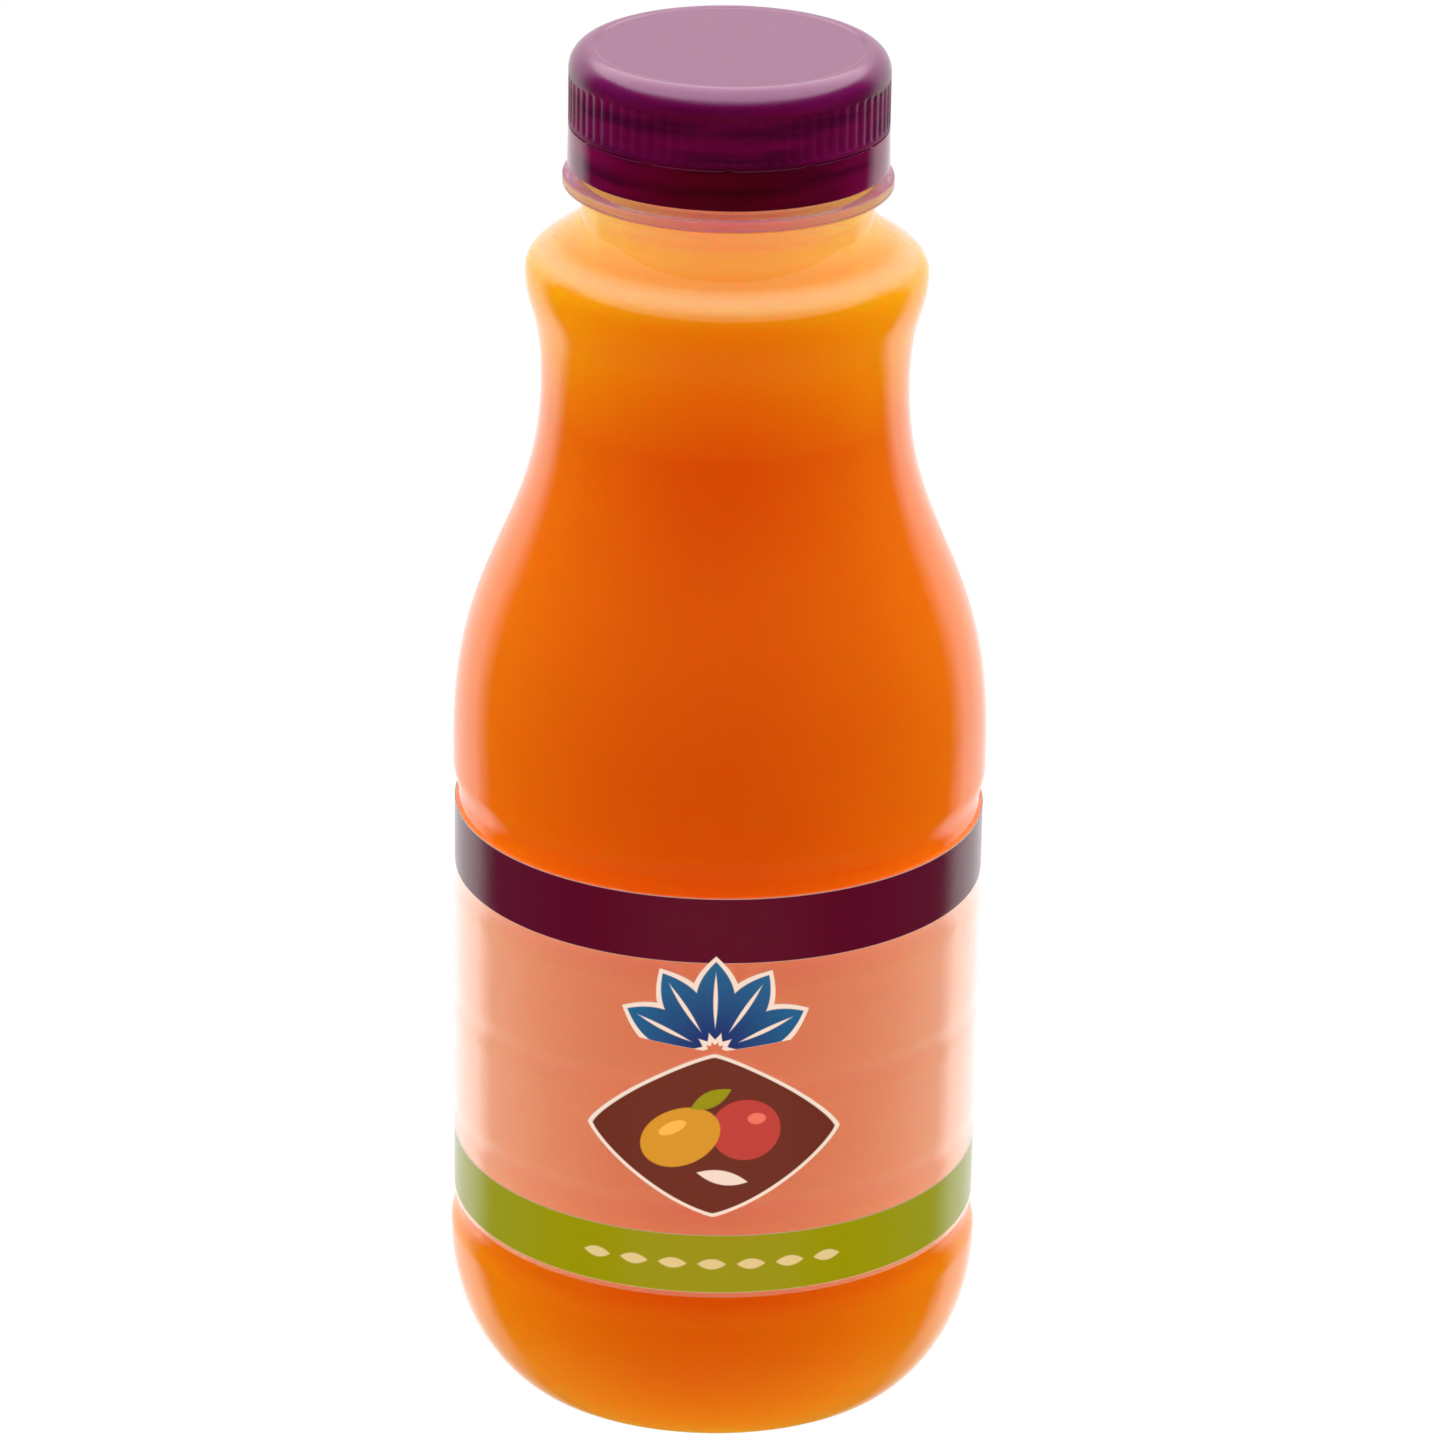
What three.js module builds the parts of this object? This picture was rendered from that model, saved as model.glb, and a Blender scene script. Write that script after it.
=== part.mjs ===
// Half-litre clear bottle of flavoured milk, with a printed sleeve label and a ribbed screw cap.
// Millimetres, +Z up. The origin is the middle of the foot, and the label's front faces -Y.
// Every piece is turned round the bottle's axis. Outlines are lists of (radius, height) points.
// A handle is how far a curve's control point lies from its end, along the curve's direction there.

import * as THREE from 'three'

// Foot and heel
const PUSH_UP_HEIGHT = 5
const PUSH_UP_HANDLE = 10.6
const PUSH_UP_FOOT = [20.3, 0.8]
const FOOT_INNER_RADIUS = 23.6
const FOOT_OUTER_RADIUS = 26.4
const HEEL_START = [28.35, 0.6]
const HEEL_START_HANDLE = [2, 1.7]
const HEEL_TOP_HANDLE = 11.2
const HEEL_RADIUS = 35.38
const HEEL_TOP = 19.2

// Label panel, a shallow recess with three grooves round it
const PANEL_RADIUS = 34.57
const PANEL_BOTTOM = 22.6
const PANEL_TOP = 82.6
const GROOVE_HEIGHTS = [36.2, 53.2, 70.2]
const GROOVE_WIDTH = 5
const GROOVE_DEPTH = 0.6

// Body above the label, waist and rounded shoulder
const BODY_RADIUS = 35.2
const BODY_BOTTOM = 86.6
const BODY_TOP = 89.8
const WAIST_RADIUS = 23.9
const WAIST_HEIGHT = 139.5
const BODY_HANDLE = 25.4
const WAIST_LOWER_HANDLE = 21.3
const WAIST_UPPER_HANDLE = 9.3
const SHOULDER_RADIUS = 26.05
const SHOULDER_HEIGHT = 154.1
const SHOULDER_LOWER_HANDLE = 4
const SHOULDER_UPPER_HANDLE = 3.15

// Neck with its carrying ring
const NECK_RADIUS = 18.85
const NECK_ROOT = 161.35
const NECK_ROOT_ROUND = 0.6
const NECK_SLOPE = 41.8
const NECK_HANDLE = 6.3
const RING_RADIUS = 21.3
const RING_BOTTOM = 166
const RING_TOP = 167.5
const RING_ROUND = 0.4
const RING_SLANT = 0.3
const FINISH_RADIUS = 18.5
const FINISH_TOP = 182.2
const LIP_CHAMFER = 0.5
const BORE_RADIUS = 16.6
const BORE_BOTTOM = 162.6
const WALL = 0.6

// Drink
const FILL_LEVEL = 170
const CLEARANCE = 0.3

// Label sleeve
const LABEL_BOTTOM = 24.1
const LABEL_TOP = 81.1
const LABEL_OUTER_RADIUS = 35.02
const LABEL_THICKNESS = 0.15

// Cap and the tamper band under it
const CAP_RADIUS = 20.6
const CAP_BOTTOM = 174.15
const CAP_TOP = 184.2
const CAP_EDGE_ROUND = 3
const CAP_WALL = 1.75
const CAP_ROOF = 1.6
const CAP_DISH_RADIUS = 17
const CAP_DISH_DEPTH = 0.15
const CAP_FOOT_CHAMFER = 0.2
const RIB_COUNT = 72
const RIB_DEPTH = 0.15
const RIB_BOTTOM = 174.9
const RIB_TOP = 180.7
const BAND_RADIUS = 20.7
const BAND_BOTTOM = 168.7
const BAND_SLIT = 0.35
const BAND_THICKNESS = 1.75
const BAND_EDGE = 0.3

// Facets
const TURNED_SIDES = 36
const CURVE_STEPS = 6
const INNER_CURVE_STEPS = 4
const EDGE_STEPS = 2

const point = (radius, height) => new THREE.Vector2(radius, height)

// One curve that leaves the first point straight up and reaches the second one straight up.
function swell(path, radius, height, leave, arrive) {
  const start = path.currentPoint
  path.bezierCurveTo(start.x, start.y + leave, radius, height - arrive, radius, height)
}

// The foot: a dome pushed up in the middle, a flat ring to stand on and the round heel.
function drawFoot(path) {
  const [startRadius, startHeight] = HEEL_START
  const [outwards, upwards] = HEEL_START_HANDLE
  path.moveTo(0, PUSH_UP_HEIGHT)
  path.bezierCurveTo(PUSH_UP_HANDLE, PUSH_UP_HEIGHT, ...PUSH_UP_FOOT, FOOT_INNER_RADIUS, 0)
  path.lineTo(FOOT_OUTER_RADIUS, 0)
  path.lineTo(startRadius, startHeight)
  path.bezierCurveTo(
    startRadius + outwards, startHeight + upwards,
    HEEL_RADIUS, HEEL_TOP - HEEL_TOP_HANDLE,
    HEEL_RADIUS, HEEL_TOP
  )
}

// One groove round the panel, as a smooth dip.
function drawGroove(path, middle) {
  const quarter = GROOVE_WIDTH / 4
  path.lineTo(PANEL_RADIUS, middle - 2 * quarter)
  path.lineTo(PANEL_RADIUS - GROOVE_DEPTH / 2, middle - quarter)
  path.lineTo(PANEL_RADIUS - GROOVE_DEPTH, middle)
  path.lineTo(PANEL_RADIUS - GROOVE_DEPTH / 2, middle + quarter)
  path.lineTo(PANEL_RADIUS, middle + 2 * quarter)
}

// The body draws in to the waist, swells to the shoulder and closes in to the neck.
function drawBody(path) {
  const slope = THREE.MathUtils.degToRad(NECK_SLOPE)
  path.lineTo(BODY_RADIUS, BODY_BOTTOM)
  path.lineTo(BODY_RADIUS, BODY_TOP)
  swell(path, WAIST_RADIUS, WAIST_HEIGHT, BODY_HANDLE, WAIST_LOWER_HANDLE)
  swell(path, SHOULDER_RADIUS, SHOULDER_HEIGHT, WAIST_UPPER_HANDLE, SHOULDER_LOWER_HANDLE)
  path.bezierCurveTo(
    SHOULDER_RADIUS, SHOULDER_HEIGHT + SHOULDER_UPPER_HANDLE,
    NECK_RADIUS + NECK_HANDLE * Math.cos(slope), NECK_ROOT - NECK_HANDLE * Math.sin(slope),
    NECK_RADIUS, NECK_ROOT
  )
}

// The outside from the middle of the foot to the root of the neck.
function bodyOutline(steps) {
  const path = new THREE.Path()
  drawFoot(path)
  path.lineTo(PANEL_RADIUS, PANEL_BOTTOM)
  GROOVE_HEIGHTS.forEach(middle => drawGroove(path, middle))
  path.lineTo(PANEL_RADIUS, PANEL_TOP)
  drawBody(path)
  return path.getPoints(steps)
}

// The outline of what fills the bottle, which passes straight inside the grooves.
function contentsOutline() {
  const path = new THREE.Path()
  drawFoot(path)
  path.lineTo(PANEL_RADIUS - GROOVE_DEPTH, PANEL_BOTTOM)
  path.lineTo(PANEL_RADIUS - GROOVE_DEPTH, PANEL_TOP)
  drawBody(path)
  return inset(path.getPoints(INNER_CURVE_STEPS), WALL + CLEARANCE)
}

// The carrying ring, the plain neck inside the cap and its mouth.
function neckOutline() {
  const path = new THREE.Path()
  path.moveTo(NECK_RADIUS, NECK_ROOT + NECK_ROOT_ROUND)
  path.lineTo(NECK_RADIUS, RING_BOTTOM - RING_SLANT)
  path.lineTo(RING_RADIUS - RING_ROUND, RING_BOTTOM)
  path.quadraticCurveTo(RING_RADIUS, RING_BOTTOM, RING_RADIUS, RING_BOTTOM + RING_ROUND)
  path.lineTo(RING_RADIUS, RING_TOP - RING_ROUND)
  path.quadraticCurveTo(RING_RADIUS, RING_TOP, RING_RADIUS - RING_ROUND, RING_TOP)
  path.lineTo(FINISH_RADIUS, RING_TOP + RING_SLANT / 2)
  path.lineTo(FINISH_RADIUS, FINISH_TOP - LIP_CHAMFER)
  path.lineTo(FINISH_RADIUS - LIP_CHAMFER, FINISH_TOP)
  path.lineTo(BORE_RADIUS, FINISH_TOP)
  return path.getPoints(EDGE_STEPS)
}

// The same outline moved inwards, square to itself, by a distance.
function inset(points, distance) {
  return points.map((here, i) => {
    const before = points[Math.max(i - 1, 0)]
    const after = points[Math.min(i + 1, points.length - 1)]
    const along = after.clone().sub(before).normalize()
    const radius = here.x === 0 ? 0 : here.x - along.y * distance
    return point(radius, here.y + along.x * distance)
  })
}

// Turns an outline round the upright axis.
function turned(points, sides = TURNED_SIDES) {
  const geometry = new THREE.LatheGeometry(points, sides)
  geometry.rotateX(Math.PI / 2)
  return geometry
}

// Pulls in every second column of the cap's skirt, so that its outside stands in pointed ribs.
function cutRibs(geometry) {
  const place = geometry.attributes.position
  const columns = 2 * RIB_COUNT
  const shrink = 1 - RIB_DEPTH / CAP_RADIUS
  for (let i = 0; i < place.count; i++) {
    const x = place.getX(i)
    const y = place.getY(i)
    const height = place.getZ(i)
    const column = Math.round(Math.atan2(y, x) / (2 * Math.PI) * columns)
    const atRibs = height > RIB_BOTTOM - CLEARANCE && height < RIB_TOP + CLEARANCE
    const outside = Math.hypot(x, y) > CAP_RADIUS - CLEARANCE
    if (atRibs && outside && column % 2 !== 0) {
      place.setXY(i, x * shrink, y * shrink)
    }
  }
}

function bottleGeometry() {
  const outside = bodyOutline(CURVE_STEPS)
  const inside = inset(bodyOutline(INNER_CURVE_STEPS), WALL)
  const bore = [point(BORE_RADIUS, BORE_BOTTOM)]
  return turned([...outside, ...neckOutline(), ...bore, ...inside.reverse()])
}

function drinkGeometry() {
  const radius = BORE_RADIUS - CLEARANCE
  const top = [point(radius, BORE_BOTTOM), point(radius, FILL_LEVEL), point(0, FILL_LEVEL)]
  return turned([...contentsOutline(), ...top])
}

function labelGeometry() {
  const inner = LABEL_OUTER_RADIUS - LABEL_THICKNESS
  const outline = [
    point(inner, LABEL_BOTTOM),
    point(LABEL_OUTER_RADIUS, LABEL_BOTTOM),
    point(LABEL_OUTER_RADIUS, LABEL_TOP),
    point(inner, LABEL_TOP),
    point(inner, LABEL_BOTTOM)
  ]
  return turned(outline)
}

function capGeometry() {
  const path = new THREE.Path()
  const inner = CAP_RADIUS - CAP_WALL
  path.moveTo(0, CAP_TOP - CAP_ROOF)
  path.lineTo(inner, CAP_TOP - CAP_ROOF)
  path.lineTo(inner, CAP_BOTTOM)
  path.lineTo(CAP_RADIUS - CAP_FOOT_CHAMFER, CAP_BOTTOM)
  path.lineTo(CAP_RADIUS, CAP_BOTTOM + CAP_FOOT_CHAMFER)
  path.lineTo(CAP_RADIUS, RIB_BOTTOM)
  path.lineTo(CAP_RADIUS, RIB_TOP)
  path.absarc(CAP_RADIUS - CAP_EDGE_ROUND, CAP_TOP - CAP_EDGE_ROUND, CAP_EDGE_ROUND, 0, Math.PI / 2, false)
  path.lineTo(CAP_DISH_RADIUS, CAP_TOP - CAP_DISH_DEPTH)
  path.lineTo(0, CAP_TOP - CAP_DISH_DEPTH)
  const geometry = turned(path.getPoints(EDGE_STEPS), 2 * RIB_COUNT)
  cutRibs(geometry)
  return geometry
}

function bandGeometry() {
  const inner = BAND_RADIUS - BAND_THICKNESS
  const top = CAP_BOTTOM - BAND_SLIT
  const outline = [
    point(inner, BAND_BOTTOM),
    point(BAND_RADIUS - BAND_EDGE, BAND_BOTTOM),
    point(BAND_RADIUS, BAND_BOTTOM + BAND_EDGE),
    point(CAP_RADIUS, top),
    point(inner, top),
    point(inner, BAND_BOTTOM)
  ]
  return turned(outline)
}

const clearPlastic = new THREE.MeshStandardMaterial({ color: 0xf2ece6, roughness: 0.06, metalness: 0 })
clearPlastic.transparent = true
clearPlastic.opacity = 0.35
const drinkColour = new THREE.MeshStandardMaterial({ color: 0xe67414, roughness: 0.35, metalness: 0 })
const labelFilm = new THREE.MeshStandardMaterial({ color: 0xe8a078, roughness: 0.22, metalness: 0 })
const capPlastic = new THREE.MeshStandardMaterial({ color: 0x720055, roughness: 0.28, metalness: 0 })

const bottle = new THREE.Mesh(bottleGeometry(), clearPlastic)
bottle.name = 'bottle'

const drink = new THREE.Mesh(drinkGeometry(), drinkColour)
drink.name = 'drink'

const label = new THREE.Mesh(labelGeometry(), labelFilm)
label.name = 'label'

const cap = new THREE.Mesh(capGeometry(), capPlastic)
cap.name = 'cap'

const tamperBand = new THREE.Mesh(bandGeometry(), capPlastic.clone())
tamperBand.name = 'tamper_band'

const group = new THREE.Group()
group.add(bottle, drink, label, cap, tamperBand)

export default group
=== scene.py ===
"""Half-litre clear bottle of orange flavoured milk, with a printed sleeve label, a ribbed cap and its band.

Lengths are millimetres, and become metres where a mesh, a texture size or the camera is made.
The bottle stands on its foot at the origin, upright along +Z, and the label's front faces -Y.
Outlines are rows of (radius, height), from the middle of the foot outwards and up.
"""
import math

import bpy
import numpy as np
from mathutils import Matrix, Vector


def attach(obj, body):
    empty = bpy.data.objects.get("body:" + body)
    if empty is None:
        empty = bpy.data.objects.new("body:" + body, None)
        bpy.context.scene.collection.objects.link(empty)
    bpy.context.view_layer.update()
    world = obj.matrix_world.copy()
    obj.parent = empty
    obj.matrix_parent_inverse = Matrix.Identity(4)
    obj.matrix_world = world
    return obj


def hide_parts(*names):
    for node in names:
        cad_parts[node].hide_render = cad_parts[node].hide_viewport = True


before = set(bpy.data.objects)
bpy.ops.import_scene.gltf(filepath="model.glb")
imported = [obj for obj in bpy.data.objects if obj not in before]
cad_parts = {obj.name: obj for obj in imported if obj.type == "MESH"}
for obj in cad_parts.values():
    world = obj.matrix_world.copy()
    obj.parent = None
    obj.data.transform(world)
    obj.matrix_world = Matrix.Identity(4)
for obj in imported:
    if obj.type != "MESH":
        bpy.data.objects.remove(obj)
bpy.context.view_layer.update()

MM = 0.001

# Foot and heel
PUSH_UP_HEIGHT = 5
PUSH_UP_HANDLE = 10.6
PUSH_UP_FOOT = (20.3, 0.8)
FOOT_INNER_RADIUS = 23.6
FOOT_OUTER_RADIUS = 26.4
FOOT_EDGE = (0.6, 0.1)
HEEL_START = (28.35, 0.6)
HEEL_START_HANDLE = (2, 1.7)
HEEL_TOP_HANDLE = 11.2
HEEL_RADIUS = 35.38
HEEL_TOP = 19.2
GATE_RADIUS = 2.2
GATE_HEIGHT = 0.7

# Label panel, a shallow recess with three grooves round it
PANEL_RADIUS = 34.57
PANEL_BOTTOM = 22.6
PANEL_TOP = 82.6
PANEL_EDGE_HANDLE = 1.3
GROOVE_HEIGHTS = (36.2, 53.2, 70.2)
GROOVE_WIDTH = 5
GROOVE_DEPTH = 0.6

# Body above the label, waist and rounded shoulder
BODY_RADIUS = 35.2
BODY_BOTTOM = 86.6
BODY_TOP = 89.8
WAIST_RADIUS = 23.9
WAIST_HEIGHT = 139.5
BODY_HANDLE = 25.4
WAIST_LOWER_HANDLE = 21.3
WAIST_UPPER_HANDLE = 9.3
SHOULDER_RADIUS = 26.05
SHOULDER_HEIGHT = 154.1
SHOULDER_LOWER_HANDLE = 4
SHOULDER_UPPER_HANDLE = 3.15

# Neck with its carrying ring
NECK_RADIUS = 18.85
NECK_ROOT = 161.35
NECK_SLOPE = math.radians(41.8)
NECK_HANDLE = 6.3
RING_RADIUS = 21.3
RING_BOTTOM = 166
RING_TOP = 167.5
RING_ROUND = 0.4
RING_SLANT = 0.3
FINISH_RADIUS = 18.5
FINISH_TOP = 182.2
LIP_ROUND = 0.5
BORE_RADIUS = 16.6
BORE_BOTTOM = 162.6
WALL = 0.6

# Drink
FILL_LEVEL = 170
INTO_WALL = 0.15
MENISCUS = 0.8

# Label sleeve
LABEL_BOTTOM = 24.1
LABEL_TOP = 81.1
LABEL_OUTER_RADIUS = 35.02
LABEL_THICKNESS = 0.15
LABEL_SAG = 0.1
SEAM_ANGLE = math.radians(110)
SEAM_WIDTH = 6
SEAM_STEP = 0.05
SEAM_SOFTNESS = 0.5

# Cap and the tamper band under it
CAP_RADIUS = 20.6
CAP_BOTTOM = 174.15
CAP_TOP = 184.2
CAP_EDGE_ROUND = 3
CAP_WALL = 1.75
CAP_ROOF = 1.6
CAP_DISH_RADIUS = 17
CAP_DISH_DEPTH = 0.15
CAP_DISH_SLOPE = 0.3
CAP_DISH_ROW = 0.1
CAP_MIDDLE_RADIUS = 9
CAP_FOOT_ROUND = 0.2
RIB_COUNT = 72
RIB_DEPTH = 0.15
RIB_BOTTOM = 174.9
RIB_TOP = 180.7
RIB_END = 0.5
RIB_SHARPNESS = 1.6
BAND_RADIUS = 20.7
BAND_BOTTOM = 168.7
BAND_SLIT = 0.15
BAND_THICKNESS = 1.75
BAND_EDGE = 0.3
BAND_TAPER = 0.05
BRIDGE_COUNT = 12
BRIDGE_WIDTH = 1.3
BRIDGE_SOFTNESS = 0.25
BRIDGE_SINK = 0.05

# Mesh steps
SAME_POINT = 1e-6
CURVE_STEPS = 28
EDGE_STEPS = 6
CAP_EDGE_STEPS = 14
CAP_FOOT_STEPS = 4
PANEL_ROWS = 121
LABEL_ROWS = 96
SKIRT_ROWS = 44
TURNED_COLUMNS = 144
LABEL_COLUMNS = 400
CAP_COLUMNS = 8 * RIB_COUNT
BAND_COLUMNS = 360
SHARP_ANGLE = math.radians(38)


# Outlines

def rows(*points):
    """The given points as rows of (radius, height)."""
    return np.array(points, float)


def bezier(*controls, steps=CURVE_STEPS):
    """Points along a Bezier curve: neighbouring controls are blended until one point is left."""
    share = np.linspace(0, 1, steps + 1)[:, None]
    layer = [np.ones_like(share) * np.array(control, float) for control in controls]
    while len(layer) > 1:
        layer = [here + (after - here) * share for here, after in zip(layer, layer[1:])]
    return layer[0]


def quarter(corner, towards, away, steps=EDGE_STEPS):
    """A quarter of a round edge, from one point to another, bending at their corner."""
    return bezier(towards, corner, away, steps=steps)


def round_edge(radius, top, size):
    """A quarter of a circle that leads from an upright side to a flat top. The circle's middle lies its own
    radius inside both."""
    turn = np.linspace(0, math.pi / 2, CAP_EDGE_STEPS + 1)
    return np.stack([radius - size + size * np.cos(turn), top - size + size * np.sin(turn)], axis=1)


def joined(*parts):
    """The parts in a row, without points that repeat the one before."""
    points = np.concatenate(parts)
    moved = np.linalg.norm(np.diff(points, axis=0), axis=1) > SAME_POINT
    return points[np.concatenate([[True], moved])]


def swell(start, end, leave, arrive):
    """One curve that leaves the first point straight up and reaches the second one straight up."""
    return bezier(start, (start[0], start[1] + leave), (end[0], end[1] - arrive), end)


def inset(outline, distance):
    """The outline moved to its left by a distance, square to its direction. Ends on the axis stay there."""
    along = np.gradient(outline, axis=0)
    along /= np.linalg.norm(along, axis=1)[:, None]
    moved = outline + distance * np.stack([-along[:, 1], along[:, 0]], axis=1)
    moved[outline[:, 0] == 0, 0] = 0
    return moved


def groove_share(height):
    """How deep a height lies in a groove, from 0 to 1: the square of a cosine across the groove's width."""
    middles = np.array(GROOVE_HEIGHTS)[:, None]
    away = np.clip(np.abs(height - middles) / GROOVE_WIDTH, 0, 0.5)
    return np.sum(np.cos(math.pi * away) ** 2, axis=0)


def bottle_outline():
    """The outside from the middle of the foot to the root of the neck."""
    dome = bezier((0, PUSH_UP_HEIGHT), (PUSH_UP_HANDLE, PUSH_UP_HEIGHT), PUSH_UP_FOOT, (FOOT_INNER_RADIUS, 0))
    dome[:, 1] -= GATE_HEIGHT * np.clip(1 - (dome[:, 0] / GATE_RADIUS) ** 4, 0, 1)
    heel_handle = (HEEL_START[0] + HEEL_START_HANDLE[0], HEEL_START[1] + HEEL_START_HANDLE[1])
    heel_top = (HEEL_RADIUS, HEEL_TOP)
    heel = bezier(HEEL_START, heel_handle, (HEEL_RADIUS, HEEL_TOP - HEEL_TOP_HANDLE), heel_top)
    panel_height = np.linspace(PANEL_BOTTOM, PANEL_TOP, PANEL_ROWS)
    panel = np.stack([PANEL_RADIUS - GROOVE_DEPTH * groove_share(panel_height), panel_height], axis=1)
    waist = (WAIST_RADIUS, WAIST_HEIGHT)
    shoulder = (SHOULDER_RADIUS, SHOULDER_HEIGHT)
    above_shoulder = (SHOULDER_RADIUS, SHOULDER_HEIGHT + SHOULDER_UPPER_HANDLE)
    slope = (NECK_RADIUS + NECK_HANDLE * math.cos(NECK_SLOPE), NECK_ROOT - NECK_HANDLE * math.sin(NECK_SLOPE))
    return joined(
        dome,
        rows((FOOT_OUTER_RADIUS, 0), (FOOT_OUTER_RADIUS + FOOT_EDGE[0], FOOT_EDGE[1])),
        heel,
        swell(heel_top, (PANEL_RADIUS, PANEL_BOTTOM), PANEL_EDGE_HANDLE, PANEL_EDGE_HANDLE),
        panel,
        swell((PANEL_RADIUS, PANEL_TOP), (BODY_RADIUS, BODY_BOTTOM), PANEL_EDGE_HANDLE, PANEL_EDGE_HANDLE),
        swell((BODY_RADIUS, BODY_TOP), waist, BODY_HANDLE, WAIST_LOWER_HANDLE),
        swell(waist, shoulder, WAIST_UPPER_HANDLE, SHOULDER_LOWER_HANDLE),
        bezier(shoulder, above_shoulder, slope, (NECK_RADIUS, NECK_ROOT)),
    )


def shell_outline():
    """The whole wall: the outside, the ring, the mouth, the bore and the inside down to the foot's dome."""
    outside = bottle_outline()
    root = (NECK_RADIUS, RING_BOTTOM)
    lower = (RING_RADIUS, RING_BOTTOM)
    upper = (RING_RADIUS, RING_TOP)
    mouth = (FINISH_RADIUS, FINISH_TOP)
    inner = RING_RADIUS - RING_ROUND
    neck = joined(
        rows((NECK_RADIUS, RING_BOTTOM - 2 * RING_SLANT)),
        quarter(root, (NECK_RADIUS, RING_BOTTOM - RING_SLANT), (NECK_RADIUS + RING_SLANT, RING_BOTTOM)),
        quarter(lower, (inner, RING_BOTTOM), (RING_RADIUS, RING_BOTTOM + RING_ROUND)),
        quarter(upper, (RING_RADIUS, RING_TOP - RING_ROUND), (inner, RING_TOP)),
        rows((FINISH_RADIUS, RING_TOP + RING_SLANT / 2)),
        quarter(mouth, (FINISH_RADIUS, FINISH_TOP - LIP_ROUND), (FINISH_RADIUS - LIP_ROUND, FINISH_TOP)),
        rows((BORE_RADIUS, FINISH_TOP), (BORE_RADIUS, BORE_BOTTOM)),
    )
    return joined(outside, neck, inset(outside, WALL)[::-1])


def drink_outline():
    """What fills the bottle. Its skin reaches a little into the wall, and its top curls up at the edge."""
    radius = BORE_RADIUS + INTO_WALL
    skin = inset(bottle_outline(), WALL - INTO_WALL)
    top = bezier(
        (radius, FILL_LEVEL), (radius - MENISCUS / 2, FILL_LEVEL - MENISCUS / 3),
        (radius - MENISCUS, FILL_LEVEL - MENISCUS / 2), (radius - 3 * MENISCUS, FILL_LEVEL - MENISCUS / 2),
        steps=EDGE_STEPS,
    )
    return joined(skin, rows((radius, BORE_BOTTOM)), top, rows((0, FILL_LEVEL - MENISCUS / 2)))


def label_outline():
    """The film's section: a thin strip that stands round the panel, up its outside and down its inside."""
    inner = LABEL_OUTER_RADIUS - LABEL_THICKNESS
    height = np.linspace(LABEL_BOTTOM, LABEL_TOP, LABEL_ROWS)
    sag = LABEL_SAG * groove_share(height)
    outside = np.stack([LABEL_OUTER_RADIUS - sag, height], axis=1)
    inside = np.stack([inner - sag, height], axis=1)[::-1]
    return joined(outside, inside, outside[:1])


def cap_outline():
    """The cap's section: under its roof, down inside the skirt, up the outside and over the dished top."""
    inner = CAP_RADIUS - CAP_WALL
    foot_inner = CAP_RADIUS - CAP_FOOT_ROUND
    foot_top = CAP_BOTTOM + CAP_FOOT_ROUND
    skirt = np.linspace(CAP_BOTTOM + 2 * CAP_FOOT_ROUND, CAP_TOP - CAP_EDGE_ROUND, SKIRT_ROWS)
    dish = CAP_TOP - CAP_DISH_DEPTH
    turn = CAP_DISH_RADIUS + CAP_DISH_SLOPE
    return joined(
        rows((0, CAP_TOP - CAP_ROOF), (inner, CAP_TOP - CAP_ROOF), (inner, CAP_BOTTOM)),
        quarter((CAP_RADIUS, CAP_BOTTOM), (foot_inner, CAP_BOTTOM), (CAP_RADIUS, foot_top), CAP_FOOT_STEPS),
        np.stack([np.full_like(skirt, CAP_RADIUS), skirt], axis=1),
        round_edge(CAP_RADIUS, CAP_TOP, CAP_EDGE_ROUND),
        bezier(
            (CAP_RADIUS - CAP_EDGE_ROUND, CAP_TOP), (turn, CAP_TOP), (turn, dish), (CAP_DISH_RADIUS, dish),
            steps=EDGE_STEPS,
        ),
        rows((CAP_DISH_RADIUS - CAP_DISH_ROW, dish), (CAP_DISH_RADIUS - 2 * CAP_DISH_ROW, dish)),
        rows((CAP_MIDDLE_RADIUS, dish), (0, dish)),
    )


def band_outline():
    """The tamper band's section, from its lower inside edge and back to it."""
    inner = BAND_RADIUS - BAND_THICKNESS
    top = CAP_BOTTOM - BAND_SLIT
    lower = (BAND_RADIUS - BAND_EDGE, BAND_BOTTOM)
    return joined(
        rows((inner, BAND_BOTTOM)),
        quarter((BAND_RADIUS, BAND_BOTTOM), lower, (BAND_RADIUS, BAND_BOTTOM + BAND_EDGE)),
        rows((BAND_RADIUS - BAND_TAPER, (BAND_BOTTOM + top) / 2), (CAP_RADIUS, top - BAND_EDGE / 2)),
        quarter((CAP_RADIUS, top), (CAP_RADIUS, top - BAND_EDGE / 2), (CAP_RADIUS - BAND_EDGE / 2, top)),
        rows((inner, top), (inner, BAND_BOTTOM)),
    )


# Meshes

def grid_faces(index, closed):
    """Faces between neighbouring rows of a grid of point numbers, wrapped round in its columns. A row that is
    one repeated point gives triangles, and the rest are four-sided. A closed grid also joins its last row to
    its first."""
    rows_after = np.roll(index, -1, axis=0)
    here, after = (index, rows_after) if closed else (index[:-1], rows_after[:-1])
    corners = [here, np.roll(here, -1, axis=1), np.roll(after, -1, axis=1), after]
    quads = np.stack(corners, axis=-1).reshape(-1, 4)
    pole_below = quads[:, 0] == quads[:, 1]
    pole_above = quads[:, 2] == quads[:, 3]
    whole = quads[~pole_below & ~pole_above]
    fans = np.concatenate([quads[pole_below][:, 1:], quads[pole_above][:, :3]])
    return whole.tolist() + fans.tolist()


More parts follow.
